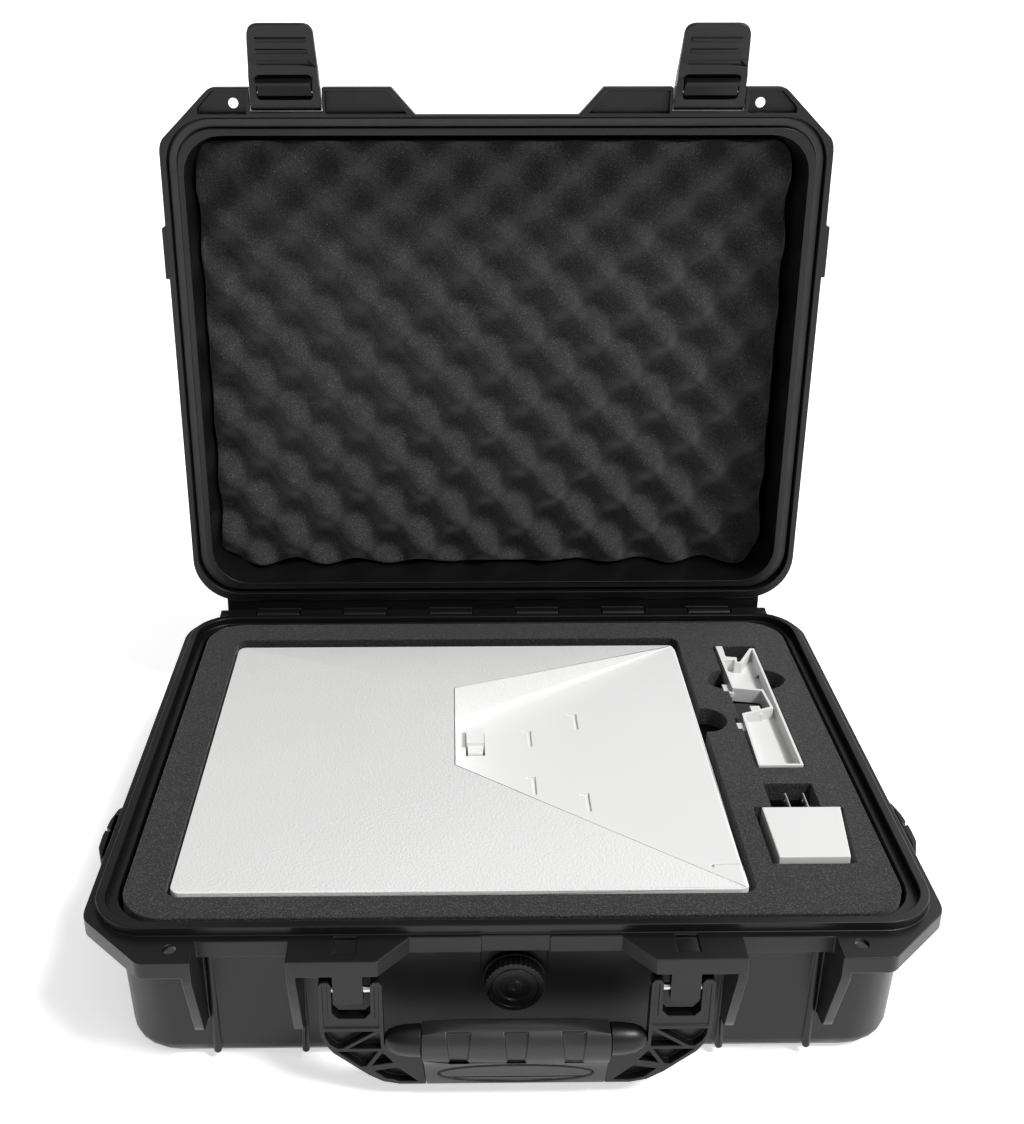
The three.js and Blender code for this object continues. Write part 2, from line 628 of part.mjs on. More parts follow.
const latchPin = (side) =>
  rodX(latchX(side) - 30.3, latchX(side) + 30.3, LATCH.pivotY, LATCH.pivotZ, LATCH.pin, 12);
const hookPin = (side) => rodX(latchX(side) - 23.6, latchX(side) + 23.6, HOOK.y, HOOK.z, HOOK.pin, 12);

// ---- foam in the base ----
const COVER = { x0: 185.5, x1: 218.8, y0: -31, y1: 149.4, floor: 101, top: FOAM_TOP + 1 };
const ADAPTER = {
  top: BASE_HEIGHT + 5.5,
  height: 29.5,
  left: 176,
  backRight: 230.8,
  frontRight: 223.2,
  y0: -141,
  y1: -85.6,
};
const PRONGS = { x: [196.6, 209.3], tip: -66, z: ADAPTER.top - 5.2 };

function adapterOutline(grow) {
  return polygon([
    [ADAPTER.left - grow, ADAPTER.y0 - grow],
    [ADAPTER.frontRight + grow, ADAPTER.y0 - grow],
    [ADAPTER.backRight + grow, ADAPTER.y1 + grow],
    [ADAPTER.left - grow, ADAPTER.y1 + grow],
  ]);
}

function foamTray() {
  const top = FOAM_TOP;
  const room = loft(bodyLevels(BODY.wall + 2 * GAP, BODY.wall + GAP, top + 4), BODY.y);
  const block = prism(roundedRect(248.6, 194.2, 30, 0, 0.8), TRAY_BOTTOM, top, 5).intersect(room);
  const spareRoom = { x: 3, right: 4.4, front: 1, back: 16.4 }; // between the unit and its pocket's walls
  const pocketX = PANEL.x + (spareRoom.right - spareRoom.x) / 2;
  const pocketY = PANEL.y + (spareRoom.back - spareRoom.front) / 2;
  const pocketHx = PANEL.hx + (spareRoom.right + spareRoom.x) / 2;
  const pocketHy = PANEL.hy + (spareRoom.back + spareRoom.front) / 2;
  const panelShape = roundedRect(pocketHx, pocketHy, 9, pocketX, pocketY);
  const panelPocket = prism(panelShape, PANEL.edge - PANEL.body - GAP, top + 1, 4);
  const fingerNotch = rodZ(80, top + 1, 157.5, 33.5, 17, 24);
  const coverX = [COVER.x0 - 1, COVER.x1 + 1];
  const coverPocket = box(coverX[0], coverX[1], COVER.y0 - 1, COVER.y1 + 1, COVER.floor - GAP, top + 1);
  const oval = new THREE.Shape();
  oval.absellipse(201, 95, 32.5, 19, 0, Math.PI * 2);
  const ovalCut = prism(oval, 92, top + 1, 10);
  const coverNotches = join(box(180.8, 190, 21, 36, 96, top + 1), box(180.8, 190, 77, 96, 96, top + 1));
  const adapterPocket = prism(
    polygon([[ADAPTER.left - 4.5, -143.5], [226.5, -143.5], [233.5, -83], [ADAPTER.left - 4.5, -81]]),
    ADAPTER.top - ADAPTER.height - GAP,
    top + 1,
  );
  const prongPocket = box(184.5, 218.5, -84, -53, 92, top + 1);
  const valveRoom = box(-19, 19, -200, -178, 30, 92);
  const tray = cut(block, panelPocket, fingerNotch, coverPocket, coverNotches);
  return cut(tray, ovalCut, adapterPocket, prongPocket, valveRoom);
}

function foamPad() {
  const block = loft(bodyLevels(BODY.wall + 1.5, BODY.wall + GAP, TRAY_BOTTOM - GAP), BODY.y);
  const valveRoom = box(-19, 19, -200, -178, 40, 92);
  return cut(block, valveRoom);
}

// ---- the stored unit ----
// Its back is a roof: four faces rise from the edges to a short ridge in the middle.
function panelRoof(z0) {
  const { x, y, hx, hy, ridge, ridgeX } = PANEL;
  const peak = z0 + PANEL.roof;
  const corners = [[x - hx, y - hy], [x + hx, y - hy], [x + hx, y + hy], [x - hx, y + hy]];
  const positions = [
    ...corners.flatMap(([px, py]) => [px, py, z0 - 4]),
    ...corners.flatMap(([px, py]) => [px, py, z0]),
    ridgeX, y - ridge, peak,
    ridgeX, y + ridge, peak,
  ];
  const index = [
    0, 2, 1, 0, 3, 2,
    0, 1, 5, 0, 5, 4, 1, 2, 6, 1, 6, 5, 2, 3, 7, 2, 7, 6, 3, 0, 4, 3, 4, 7,
    4, 5, 8, 5, 6, 9, 5, 9, 8, 6, 7, 9, 7, 4, 8, 7, 8, 9,
  ];
  const geometry = new THREE.BufferGeometry();
  geometry.setAttribute("position", new THREE.BufferAttribute(new Float32Array(positions), 3));
  geometry.setIndex(index);
  return toSolid(geometry);
}

// The sunk floor on the right of the ridge falls gently from the unit's right edge to the ridge's wall.
const PANEL_RIGHT = PANEL.x + PANEL.hx;
const floorAt = (x) => PANEL.edge - (PANEL.sink * (PANEL_RIGHT - x)) / (PANEL_RIGHT - PANEL.ridgeX);
const PANEL_SPLIT = PANEL.edge - 13;
const PORT = { x: -21, half: 6.6, front: -10, back: 21 };

// The room above the floor. It grows by margin to the left, and its floor is lower by drop.
function roomOverFloor(margin, drop) {
  const { y, hy, ridge, ridgeX } = PANEL;
  const reach = 1.02;
  const left = ridgeX - margin + 0.01;
  const right = ridgeX + (PANEL_RIGHT - ridgeX) * reach;
  const half = ridge + (hy - ridge) * reach;
  const plan = polygon([
    [left, y - ridge - margin],
    [right, y - half - margin],
    [right, y + half + margin],
    [left, y + ridge + margin],
  ]);
  const low = [[left, floorAt(left) - drop], [right, floorAt(right) - drop]];
  const section = polygon([...low, [right, 200], [left, 200]]);
  return prism(plan, 60, 200).intersect(plateAlongY(section, y - hy - 20, y + hy + 20));
}

// A thin L-shaped recess that takes the head of a hanging screw.
function screwRecess(x, y) {
  const low = floorAt(x) - 1.6;
  const high = PANEL.edge + 2;
  const stem = box(x - 1.3, x + 1.3, y - 11, y + 11, low, high);
  return join(stem, box(x - 5, x + 1.3, y + 8.4, y + 11, low, high));
}

function panelBack() {
  const { x, y, hx, hy, edge, corner } = PANEL;
  const rim = prism(roundedRect(hx, hy, corner, x, y), PANEL_SPLIT, edge - 2, 4);
  let shell = join(rim, panelRoof(edge).intersect(prism(roundedRect(hx, hy, corner, x, y), 0, 200, 4)));
  const lowRoom = box(x - hx, x + hx, y - hy, y + hy, PANEL_SPLIT - 1, edge - 6);
  const hollow = join(panelRoof(edge - 2.5), lowRoom);
  const wall = box(x - hx + 3, x + hx - 3, y - hy + 3, y + hy - 3, PANEL_SPLIT - 2, 200);
  const inside = cut(hollow, roomOverFloor(3, 2.5)).intersect(wall);
  const softEdge = polygon([
    [PANEL_RIGHT - 2.6, edge], [PANEL_RIGHT, edge - 2], [PANEL_RIGHT + 1, edge - 2],
    [PANEL_RIGHT + 1, edge + 1], [PANEL_RIGHT - 2.6, edge + 1],
  ]);
  shell = cut(shell, roomOverFloor(0, 0), inside, plateAlongY(softEdge, y - hy - 1, y + hy + 1));
  for (const [recessX, recessY] of [[20.5, 11.4], [57.2, 33.5], [20.5, -50.5], [57.2, -72.5]]) {
    shell = cut(shell, screwRecess(recessX, recessY));
  }
  const portHalf = PORT.half + 0.4;
  const portWindow = box(PORT.x - portHalf, PORT.x + portHalf, PORT.front, PORT.back, edge - 12, edge);
  const groove = box(131, PANEL_RIGHT + 0.4, -145.9, -145.1, edge - 1.8, edge + 6);
  const seam = join(groove, rodZ(edge - 2.2, edge + 9, 131, -147, 1.2, 10));
  return cut(shell, portWindow, seam);
}

function panelFront() {
  const { x, y, hx, hy, edge, body } = PANEL;
  const low = edge - body;
  const outer = prism(roundedRect(hx - 0.6, hy - 0.6, 6.4, x, y), low, PANEL_SPLIT - GAP, 4);
  const inner = prism(roundedRect(hx - 3.2, hy - 3.2, 4, x, y), low + 2.4, PANEL_SPLIT + 1, 3);
  return cut(outer, inner);
}

function panelBoard() {
  const { x, y, edge, body } = PANEL;
  const board = box(x - 160, x + 160, y - 135, y + 135, edge - body + 2.7, edge - body + 4.3);
  const shieldCan = box(x - 120, x - 60, y - 40, y + 40, edge - body + 4.2, edge - body + 7.5);
  return join(board, shieldCan);
}

// Two sockets side by side, with a lower block in front of them.
function panelPort() {
  const { x, half, front, back } = PORT;
  const low = floorAt(x) - 5.2;
  const high = floorAt(x) + 5;
  const block = box(x - half, x + half, front + 10, back - 0.4, low, high);
  const step = box(x - half + 1, x + half - 1, front + 0.4, front + 11, low, high - 3);
  const socket = (y) => box(x - half + 2, x + half + 1, y, y + 6.6, high - 4.6, high - 1.6);
  return cut(join(block, step), socket(front + 12), socket(front + 20.8));
}

// An outline with every side moved in by distance. Its points run anticlockwise.
function movedIn(points, distance) {
  const count = points.length;
  const normal = ([ax, ay], [bx, by]) => {
    const length = Math.hypot(bx - ax, by - ay);
    return [(ay - by) / length, (bx - ax) / length];
  };
  return points.map((point, i) => {
    const [ux, uy] = normal(points[(i + count - 1) % count], point);
    const [vx, vy] = normal(point, points[(i + 1) % count]);
    const reach = distance / (1 + ux * vx + uy * vy);
    return [point[0] + reach * (ux + vx), point[1] + reach * (uy + vy)];
  });
}

// An outline with rounded corners, each of which starts r before its point.
function softPolygon(points, r) {
  const shape = new THREE.Shape();
  const count = points.length;
  points.forEach(([x, y], i) => {
    const towards = ([qx, qy]) => {
      const share = Math.min(r / Math.hypot(qx - x, qy - y), 0.45);
      return [x + (qx - x) * share, y + (qy - y) * share];
    };
    const start = towards(points[(i + count - 1) % count]);
    shape[i ? "lineTo" : "moveTo"](...start);
    shape.quadraticCurveTo(x, y, ...towards(points[(i + 1) % count]));
  });
  shape.closePath();
  return shape;
}

// The connector cover: a tray with a waist, a long straight right wall, clips on the left and an end tab.
function coverBracket() {
  const { x0, x1, y0, y1, floor, top } = COVER;
  const outline = [
    [x0, y0], [x1, y0], [x1, y1 - 4], [x1 - 4, y1 - 4], [202, 122.4], [199.8, 122.6], [201, 130],
    [192, 131.4], [192.3, y1], [x0 + 1, y1], [x0 + 2, 79.5],
    [210, 75.4], [211.8, 50.5], [x0 + 2, 41],
  ];
  const wall = 2.2;
  const tab = box(x0 - 1, 202, 126, y1 + 1, floor, top + 1);
  const hollow = cut(prism(polygon(movedIn(outline, wall)), floor + 2.4, top + 1), tab);
  const tray = cut(prism(softPolygon(outline, 1), floor, top, 2), hollow);
  const platform = box(x0 + 2.6, 207, 80, 95, floor + 1, top - 4);
  const shelf = box(x0 + 2.4, 208, y0 + 1.5, 36, floor + 1, top - 5);
  const post = box(197, 205, 44, 57, floor, top - 3);
  const clipFront = box(181.6, x0 + 3, 21, 32, floor + 4, top - 3);
  const clipBack = box(181.6, x0 + 3.4, 78, 92, floor + 4, top - 4);
  return join(tray, platform, shelf, post, clipFront, clipBack);
}

// ---- the adapter: a moulded body, a plate let into its back, and two flat blades ----
const ADAPTER_SPLIT = ADAPTER.y1 - 4;

function platePlace(grow, back) {
  const { top, height, left, backRight } = ADAPTER;
  const x0 = left + 2.4 - grow;
  const x1 = backRight - 4 + grow;
  return box(x0, x1, ADAPTER_SPLIT - grow, back, top - height + 2.4 - grow, top - 1.2 + grow);
}

function adapterBody() {
  const { top, height, y0, y1, left, backRight } = ADAPTER;
  const low = top - height;
  const inner = box(left + 4, backRight - 12, y0 + 3, ADAPTER_SPLIT + 1, low + 4, top - 1.6);
  return cut(prism(adapterOutline(0), low, top), inner, platePlace(GAP, y1 + 1));
}

function adapterFace() {
  const { y1 } = ADAPTER;
  const hole = (x) => box(x - 1.1, x + 1.1, ADAPTER_SPLIT - 2, y1 + 2, PRONGS.z - 3.5, PRONGS.z + 3.5);
  return cut(platePlace(0, y1 - 0.4), ...PRONGS.x.map(hole));
}

function adapterCore() {
  const low = ADAPTER.top - ADAPTER.height + 4 + GAP;
  return join(
    box(182, 214, ADAPTER.y0 + 6, ADAPTER_SPLIT - 12, low, low + 1.6),
    box(186, 200, ADAPTER.y0 + 12, ADAPTER.y0 + 30, low + 1.5, low + 15),
    rodZ(low + 1.5, low + 16, 206, ADAPTER.y0 + 18, 4.5, 14),
  );
}

function prong(x) {
  const blade = box(x - 0.75, x + 0.75, ADAPTER_SPLIT - 4, PRONGS.tip, PRONGS.z - 3.15, PRONGS.z + 3.15);
  const hole = rodX(x - 3, x + 3, PRONGS.tip - 4.5, PRONGS.z, 1.6, 12);
  return cut(blade, hole);
}

// ---- materials and the assembly ----
function finish(color, roughness, metalness = 0) {
  return { color, roughness, metalness };
}

const BLACK_SHELL = finish(0x1c1d1f, 0.5);
const BLACK_RUBBER = finish(0x161718, 0.75);
const CHARCOAL_FOAM = finish(0x1f2022, 0.95);
const WHITE_PLASTIC = finish(0xe9e9e7, 0.5);
const STEEL = finish(0xb9bbbd, 0.3, 1);
const CIRCUIT = finish(0x1f4a34, 0.6);

function piece(name, solid, look) {
  const mesh = new THREE.Mesh(toGeometry(solid), new THREE.MeshStandardMaterial(look));
  mesh.name = name;
  return mesh;
}

const group = new THREE.Group();
group.add(
  piece("base_shell", baseShell(), BLACK_SHELL),
  piece("hinge_pin", rodX(-HINGE.ends + 0.5, HINGE.ends - 0.5, HINGE.y, HINGE.z, HINGE.pin, 16), STEEL),
  piece("valve_seal", valveSeal(), BLACK_RUBBER),
  piece("valve_body", valveBody(), BLACK_SHELL),
  piece("valve_knob", valveKnob(), BLACK_SHELL),
  piece("handle_frame", handleFrame(), BLACK_SHELL),
  piece("handle_grip", gripSleeve(), BLACK_RUBBER),
  piece("foam_tray", foamTray(), CHARCOAL_FOAM),
  piece("foam_pad", foamPad(), CHARCOAL_FOAM),
  piece("panel_back", panelBack(), WHITE_PLASTIC),
  piece("panel_front", panelFront(), WHITE_PLASTIC),
  piece("panel_board", panelBoard(), CIRCUIT),
  piece("panel_port", panelPort(), WHITE_PLASTIC),
  piece("cover_bracket", coverBracket(), WHITE_PLASTIC),
  piece("adapter_body", adapterBody(), WHITE_PLASTIC),
  piece("adapter_face", adapterFace(), WHITE_PLASTIC),
  piece("adapter_core", adapterCore(), CIRCUIT),
  piece("prong_left", prong(PRONGS.x[0]), STEEL),
  piece("prong_right", prong(PRONGS.x[1]), STEEL),
);
for (const [name, side] of SIDES) {
  group.add(piece("handle_pin_" + name, handlePin(side), STEEL));
}

// The lid and everything on it turn back about the hinge pin, by way of a group whose origin is on the pin.
const closedLid = new THREE.Group();
closedLid.position.set(0, -HINGE.y, -HINGE.z);
closedLid.add(
  piece("lid_shell", lidShell(), BLACK_SHELL),
  piece("lid_gasket", lidGasket(), BLACK_RUBBER),
  piece("lid_foam", lidFoam(), CHARCOAL_FOAM),
);
for (const [name, side] of SIDES) {
  const straightLever = new THREE.Group();
  straightLever.position.set(0, -LATCH.pivotY, -LATCH.pivotZ);
  straightLever.add(
    piece("latch_lever_" + name, latchLever(side), BLACK_SHELL),
    piece("latch_hook_" + name, latchHook(side), BLACK_SHELL),
    piece("hook_pin_" + name, hookPin(side), STEEL),
  );
  const lever = new THREE.Group();
  lever.position.set(0, LATCH.pivotY, LATCH.pivotZ);
  lever.rotation.x = THREE.MathUtils.degToRad(LEVER_LEAN);
  lever.add(straightLever);
  closedLid.add(lever, piece("latch_pin_" + name, latchPin(side), STEEL));
}
const openLid = new THREE.Group();
openLid.position.set(0, HINGE.y, HINGE.z);
openLid.rotation.x = THREE.MathUtils.degToRad(-OPEN_ANGLE);
openLid.add(closedLid);
group.add(openLid);

export default group;
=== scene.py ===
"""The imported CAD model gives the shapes. This script rounds its edges, adds materials, and makes the foam.
"""

import json
import math

import bmesh
import bpy
from mathutils import Euler, Matrix, Vector, noise

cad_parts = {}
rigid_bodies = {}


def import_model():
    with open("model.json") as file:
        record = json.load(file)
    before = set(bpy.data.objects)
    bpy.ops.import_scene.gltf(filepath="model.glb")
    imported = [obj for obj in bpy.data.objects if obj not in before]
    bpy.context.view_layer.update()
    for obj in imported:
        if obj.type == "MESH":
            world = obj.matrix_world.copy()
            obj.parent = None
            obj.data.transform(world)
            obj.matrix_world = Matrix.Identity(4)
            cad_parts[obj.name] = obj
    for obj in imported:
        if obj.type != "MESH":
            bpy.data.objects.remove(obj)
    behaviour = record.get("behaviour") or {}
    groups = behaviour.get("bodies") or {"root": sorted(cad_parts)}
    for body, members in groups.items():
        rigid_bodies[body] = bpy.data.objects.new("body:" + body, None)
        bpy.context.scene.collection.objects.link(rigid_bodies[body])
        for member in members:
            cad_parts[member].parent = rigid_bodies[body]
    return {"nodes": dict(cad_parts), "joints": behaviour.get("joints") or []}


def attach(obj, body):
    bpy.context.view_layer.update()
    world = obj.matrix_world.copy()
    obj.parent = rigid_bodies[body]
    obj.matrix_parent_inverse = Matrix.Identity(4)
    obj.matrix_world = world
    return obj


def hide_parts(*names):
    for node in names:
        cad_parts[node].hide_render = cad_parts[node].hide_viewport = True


MM = 0.001
ROOM_LEFT = 0.15  # the room's brightness on the left and on the right
ROOM_RIGHT = 0.85
SUN_FROM = (0.62, -0.42, 1.0)
SUN_STRENGTH = 2.8
SUN_SPREAD = 16  # degrees across, which sets how soft the shadows are
GROUND_RADIUS = 60
GROUND_GLOW = 0.55  # the ground's own light, which brings it up to white
SUNK_SLOPE = 5 / 187.5  # the rise of the stored unit's sunk floor towards the right
SUNK_LEVEL = 0.11  # the height of that floor where X is zero
WELD_DISTANCE = 0.00001
FLAT_ANGLE = math.radians(0.6)  # faces that turn less than this count as one flat face
EDGE_ANGLE = math.radians(33)  # edges that turn more than this are rounded
FOAM_BEVEL = 0.8  # in millimetres


def clear_scene():
    for thing in list(bpy.data.objects):
        bpy.data.objects.remove(thing)


clear_scene()
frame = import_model()
bpy.context.view_layer.update()
nodes = frame["nodes"]
joints = {joint["name"]: joint for joint in frame["joints"]}


# ---- camera ----
def make_camera():
    """The viewpoint, from in front of the case and above it."""
    data = bpy.data.cameras.new("camera")
    data.sensor_width = 36
    data.lens = 43.51
    data.shift_x = 0.0411
    data.shift_y = -0.0374
    data.clip_end = 200
    camera = bpy.data.objects.new("camera", data)
    camera.location = (-0.0385, -0.8683, 0.6728)
    camera.rotation_euler = Euler((math.radians(66.565), 0, math.radians(-0.685)))
    bpy.context.scene.collection.objects.link(camera)
    bpy.context.scene.camera = camera


# ---- studio ----
def soft_light(name, place, target, width, height, power):
    data = bpy.data.lights.new(name, "AREA")
    data.shape = "RECTANGLE"
    data.size = width
    data.size_y = height
    data.energy = power
    lamp = bpy.data.objects.new(name, data)
    lamp.location = place
    aim = Vector(target) - Vector(place)
    lamp.rotation_euler = aim.to_track_quat("-Z", "Y").to_euler()
    bpy.context.scene.collection.objects.link(lamp)


def make_world():
    """A white room whose right side is brighter than its left, so dark surfaces shine more on the right."""
    world = bpy.data.worlds.new("studio")
    bpy.context.scene.world = world
    world.use_nodes = True
    tree = world.node_tree
    direction = tree.nodes.new("ShaderNodeTexCoord")
    split = tree.nodes.new("ShaderNodeSeparateXYZ")
    ramp = tree.nodes.new("ShaderNodeMapRange")
    tree.links.new(direction.outputs["Generated"], split.inputs["Vector"])
    tree.links.new(split.outputs["X"], ramp.inputs["Value"])
    ramp.inputs["From Min"].default_value = -0.7
    ramp.inputs["From Max"].default_value = 0.7
    ramp.inputs["To Min"].default_value = ROOM_LEFT
    ramp.inputs["To Max"].default_value = ROOM_RIGHT
    background = tree.nodes["Background"]
    background.inputs["Color"].default_value = (1, 1, 1, 1)
    tree.links.new(ramp.outputs["Result"], background.inputs["Strength"])


def soft_sun(name, source, strength, angle):
    data = bpy.data.lights.new(name, "SUN")
    data.energy = strength
    data.angle = math.radians(angle)
    lamp = bpy.data.objects.new(name, data)
    lamp.rotation_euler = (-Vector(source)).to_track_quat("-Z", "Y").to_euler()
    bpy.context.scene.collection.objects.link(lamp)


def make_floor():
    """A wide white disc that the case stands on, which also is the background."""
    disc = bmesh.new()
    bmesh.ops.create_circle(disc, cap_ends=True, segments=96, radius=GROUND_RADIUS)
    mesh = bpy.data.meshes.new("floor")
    disc.to_mesh(mesh)
    disc.free()
    floor = bpy.data.objects.new("floor", mesh)
    floor.location.z = -0.3 * MM
    bpy.context.scene.collection.objects.link(floor)
    look = Look("pale_floor", (0.92, 0.92, 0.92), 0.9)
    look.shader.inputs["Specular IOR Level"].default_value = 0.1
    look.shader.inputs["Emission Color"].default_value = (1, 1, 1, 1)
    look.shader.inputs["Emission Strength"].default_value = GROUND_GLOW
    mesh.materials.append(look.material)


def make_studio():
    """A sun from the front right, and a weak lamp behind the case's right side."""
    bpy.context.scene.view_settings.view_transform = "Standard"
    make_world()
    soft_sun("key", SUN_FROM, SUN_STRENGTH, SUN_SPREAD)
    soft_light("right_back", (1.3, 0.8, 0.9), target=(0.1, 0, 0.15), width=0.9, height=1.1, power=6)
    make_floor()


# ---- procedural materials ----
class Look:
    """One procedural material: a Principled shader fed by patterns.

    The patterns use the object's own coordinates, in metres.
    """

    def __init__(self, name, color, roughness, metallic=0.0):
        self.material = bpy.data.materials.new(name)
        self.material.use_nodes = True
        self.tree = self.material.node_tree
        self.shader = self.tree.nodes["Principled BSDF"]
        self.shader.inputs["Base Color"].default_value = (*color, 1)
        self.shader.inputs["Roughness"].default_value = roughness
        self.shader.inputs["Metallic"].default_value = metallic
        self.material.diffuse_color = (*color, 1)
        self.place = self.node("ShaderNodeTexCoord").outputs["Object"]
        self.normal = None

    def node(self, kind, settings=None, **values):
        """Adds a node. Each value goes to the input of that name, as a link if it is an output."""
        made = self.tree.nodes.new(kind)
        for key, value in (settings or {}).items():
            setattr(made, key, value)
        for key, value in values.items():
            socket = made.inputs[key.replace("_", " ").title()]
            if isinstance(value, bpy.types.NodeSocket):
                self.tree.links.new(value, socket)
            else:
                socket.default_value = value
        return made

    def link(self, output, name):
        self.tree.links.new(output, self.shader.inputs[name])

    def noise(self, scale, detail=2.0, roughness=0.5, vector=None):
        made = self.node(
            "ShaderNodeTexNoise",
            Scale=scale,
            Detail=detail,
            Roughness=roughness,
            Vector=vector or self.place,
        )
        return made.outputs["Fac"]

    def cells(self, scale, feature="F1", randomness=1.0):
        made = self.node(
            "ShaderNodeTexVoronoi",
            {"feature": feature},
            Scale=scale,
            Randomness=randomness,
            Vector=self.place,
        )
        return made.outputs["Distance"]

    def spread(self, value, low, high, to_low=0.0, to_high=1.0):
        """Stretches the range from low to high out to the range from to_low to to_high."""
        made = self.node(
            "ShaderNodeMapRange",
            Value=value,
            From_Min=low,
            From_Max=high,
            To_Min=to_low,
            To_Max=to_high,
        )
        return made.outputs["Result"]

    def math(self, operation, first, second):
        made = self.node("ShaderNodeMath", {"operation": operation})
        for socket, value in zip(made.inputs, (first, second)):
            if isinstance(value, bpy.types.NodeSocket):
                self.tree.links.new(value, socket)
            else:
                socket.default_value = value
        return made.outputs[0]

    def mix(self, factor, first, second):
        """Mixes two colours. This node's colour sockets share their names, so they are found by number."""
        made = self.node("ShaderNodeMix", {"data_type": "RGBA"})
        self.tree.links.new(factor, made.inputs[0])
        for socket, value in ((made.inputs[6], first), (made.inputs[7], second)):
            if isinstance(value, bpy.types.NodeSocket):
                self.tree.links.new(value, socket)
            else:
                socket.default_value = (*value, 1)
        return made.outputs[2]

    def coordinate(self, axis):
        split = self.node("ShaderNodeSeparateXYZ", Vector=self.place)
        return split.outputs[axis]

    def bump(self, height, distance, strength):
        """Adds a bump on top of any bump that the look already has."""
        made = self.node("ShaderNodeBump", Strength=strength, Distance=distance, Height=height)
        if self.normal:
            self.tree.links.new(self.normal, made.inputs["Normal"])
        self.normal = made.outputs["Normal"]
        self.link(self.normal, "Normal")


def moulded_black():
    """The shell's black plastic: a fine even texture, with a gloss that varies slightly."""
    look = Look("moulded_black", (0.004, 0.0041, 0.0043), 0.42)
    look.shader.inputs["Specular IOR Level"].default_value = 0.34
    cloud = look.noise(22, 3)
    look.link(look.spread(cloud, 0.3, 0.7, 0.3, 0.4), "Roughness")
    grain = look.noise(2300, 2, 0.6)
    look.bump(grain, 0.00005, 0.5)
    return look.material


def soft_rubber():
    """The grip's rubber: slightly paler and duller than the shell, with a coarser grain."""
    look = Look("soft_rubber", (0.014, 0.0142, 0.0147), 0.4)
    look.link(look.spread(look.noise(40, 3), 0.3, 0.7, 0.34, 0.44), "Roughness")
    look.bump(look.noise(1500, 2, 0.6), 0.00006, 0.5)
    return look.material


def open_cell_foam():
    """Charcoal foam: dark cells with lighter walls, and fine bright specks where cut cells catch light."""
    look = Look("open_cell_foam", (0.03, 0.03, 0.031), 0.8)
    look.shader.inputs["Specular IOR Level"].default_value = 0.3
    look.shader.inputs["Sheen Weight"].default_value = 0.22
    look.shader.inputs["Sheen Roughness"].default_value = 0.4
    cell = look.cells(1000)
    fleck = look.noise(1250, 2, 0.7)
    cloud = look.noise(26, 3)
    dark = look.mix(look.spread(cell, 0.1, 0.6), (0.006, 0.006, 0.0061), (0.017, 0.017, 0.0174))
    worn = look.mix(look.spread(cloud, 0.3, 0.75), dark, (0.015, 0.015, 0.0153))
    speckled = look.mix(look.spread(fleck, 0.54, 0.72), worn, (0.12, 0.12, 0.123))
    look.link(speckled, "Base Color")
    look.bump(cell, 0.0005, 0.7)
    look.bump(fleck, 0.0004, 0.6)
    return look.material


def grained_white():
    """White plastic with a leather grain on the roof's faces, and smooth on the sunk floor and the sides."""
    look = Look("grained_white", (0.7, 0.7, 0.695), 0.5)
    cell = look.cells(720, "SMOOTH_F1")
    fine = look.noise(1500, 3, 0.6)
    grain = look.math("ADD", look.math("MULTIPLY", cell, 0.8), look.math("MULTIPLY", fine, 0.5))
    slope = look.math("MULTIPLY", look.coordinate("X"), SUNK_SLOPE)
    level = look.math("SUBTRACT", look.coordinate("Z"), slope)
    roof = look.spread(level, SUNK_LEVEL + 0.5 * MM, SUNK_LEVEL + 0.9 * MM)
    grain = look.math("MULTIPLY", grain, roof)
    look.link(look.spread(look.noise(30, 2), 0.3, 0.7, 0.46, 0.56), "Roughness")
    look.bump(grain, 0.0005, 0.6)
    return look.material


def smooth_white():
    look = Look("smooth_white", (0.68, 0.68, 0.675), 0.38)
    look.link(look.spread(look.noise(45, 2), 0.3, 0.7, 0.34, 0.44), "Roughness")
    look.bump(look.noise(1800, 2), 0.00003, 0.4)
    return look.material


def satin_steel():
    """The pins and blades: steel with faint streaks along X."""
    look = Look("satin_steel", (0.6, 0.6, 0.61), 0.28, 1.0)
    stretched = look.node("ShaderNodeMapping", Vector=look.place)
    stretched.inputs["Scale"].default_value = (0.08, 1, 1)
    streaks = look.noise(1400, 2, 0.5, stretched.outputs["Vector"])
    look.link(look.spread(streaks, 0.3, 0.7, 0.22, 0.36), "Roughness")
    return look.material


def circuit_green():
    """The hidden circuit boards: green, with a net of paler and darker green."""
    look = Look("circuit_green", (0.03, 0.12, 0.06), 0.5)
    tracks = look.spread(look.cells(90, "DISTANCE_TO_EDGE", 0.4), 0.02, 0.05)
    look.link(look.mix(tracks, (0.05, 0.18, 0.09), (0.02, 0.09, 0.045)), "Base Color")
    return look.material


# ---- finishing the CAD pieces ----
def round_edges(obj, bevel):
    """Rounds an object's edges by bevel, in millimetres."""
    edge = obj.modifiers.new("edge", "BEVEL")
    edge.width = bevel * MM
    edge.segments = 2
    edge.limit_method = "ANGLE"
    edge.angle_limit = EDGE_ANGLE
    edge.use_clamp_overlap = False


def even_shading(obj):
    """Keeps flat faces flat in shading, next to their rounded edges."""
    even = obj.modifiers.new("even", "WEIGHTED_NORMAL")
    even.weight = 70


